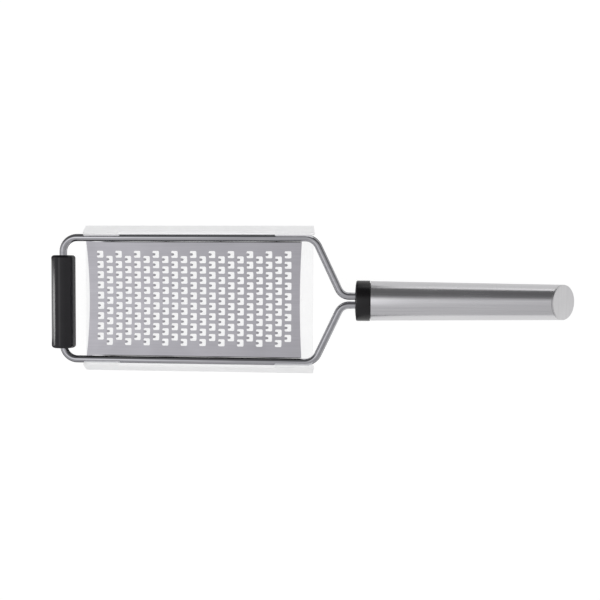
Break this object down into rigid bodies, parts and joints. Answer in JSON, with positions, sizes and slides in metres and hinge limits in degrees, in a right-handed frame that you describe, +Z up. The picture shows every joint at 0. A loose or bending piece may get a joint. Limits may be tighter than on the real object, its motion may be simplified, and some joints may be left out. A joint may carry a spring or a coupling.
{
  "type": "hand grater",
  "caption": "Flat hand grater: perforated bowed steel plate welded in a bent wire frame, with a front foot, a tapered tube handle and a clear guard that slides over the teeth.",
  "frame": {"origin": "middle of the underside of the whole grater, level with the lowest line of the handle collar", "axes": "+X from the front foot to the end of the handle, +Y across the plate, +Z up, away from the guard"},
  "size_m": [0.2858, 0.0822, 0.0218],
  "materials": {
    "polished_steel": "polished round wire",
    "sheet_steel": "satin sheet",
    "handle_steel": "fine brushed tube",
    "cap_steel": "fine brushed disc",
    "weld_steel": "dull weld bead",
    "foot_rubber": "smooth black rubber",
    "collar_plastic": "smooth black moulding",
    "clear_plastic": "clear moulding"
  },
  "bodies": {
    "grater": {"wire_frame": "polished_steel", "grating_plate": "sheet_steel", "front_foot": "foot_rubber", "handle_collar": "collar_plastic", "handle_tube": "handle_steel", "handle_end_cap": "cap_steel", "plate_weld_left_1": "weld_steel", "plate_weld_left_2": "weld_steel", "plate_weld_left_3": "weld_steel", "plate_weld_left_4": "weld_steel", "plate_weld_right_1": "weld_steel", "plate_weld_right_2": "weld_steel", "plate_weld_right_3": "weld_steel", "plate_weld_right_4": "weld_steel"},
    "guard": {"clear_guard": "clear_plastic"}
  },
  "joints": [
    {"name": "guard_slide", "type": "slide", "parent": "grater", "child": "guard", "axis": [-1, 0, 0], "range_m": [0, 0.15]}
  ]
}
